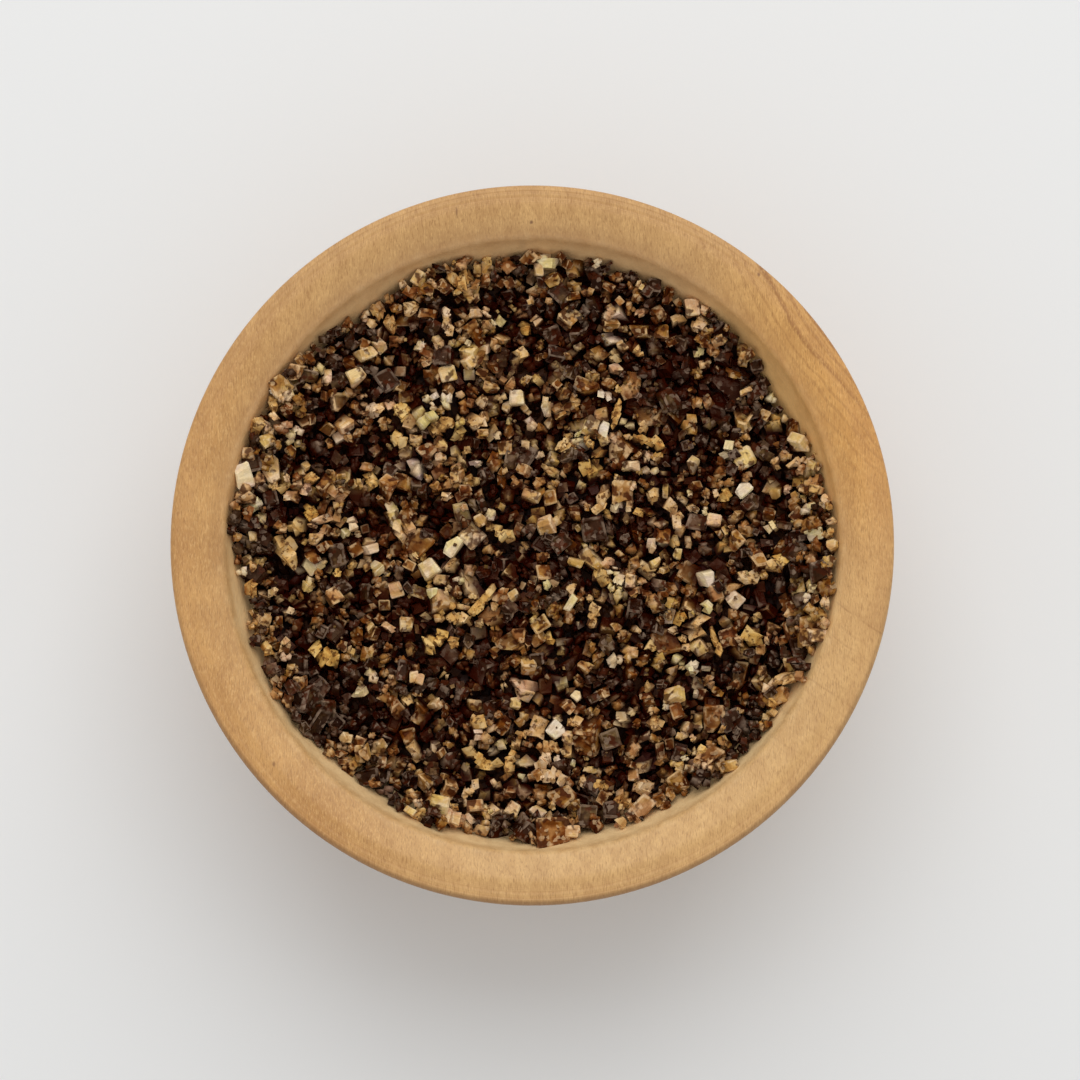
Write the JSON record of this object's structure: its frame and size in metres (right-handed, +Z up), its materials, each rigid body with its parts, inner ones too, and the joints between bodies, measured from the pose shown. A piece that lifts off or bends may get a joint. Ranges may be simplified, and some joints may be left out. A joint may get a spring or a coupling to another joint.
{
  "type": "bowl of mushroom salt",
  "caption": "Small turned wooden pinch bowl with a bevelled rim, filled almost to the rim with coarse salt crystals and dried mushroom pieces.",
  "frame": {"origin": "centre of the foot's underside, on the surface that the bowl stands on", "axes": "+Z up, out of the bowl's mouth; the bowl is round about Z; the heap is banked up at +X and -X and lies lowest towards -Y"},
  "size_m": [0.075, 0.075, 0.03],
  "materials": {
    "bowl_wood": "fine-grained pale hardwood, turned and sanded, lightly oiled, satin",
    "mushroom_salt": "loose coarse crystals, near black, brown, tan and off-white, with golden dried mushroom bits"
  },
  "bodies": {
    "root": {"bowl": "bowl_wood", "salt": "mushroom_salt"}
  },
  "joints": []
}
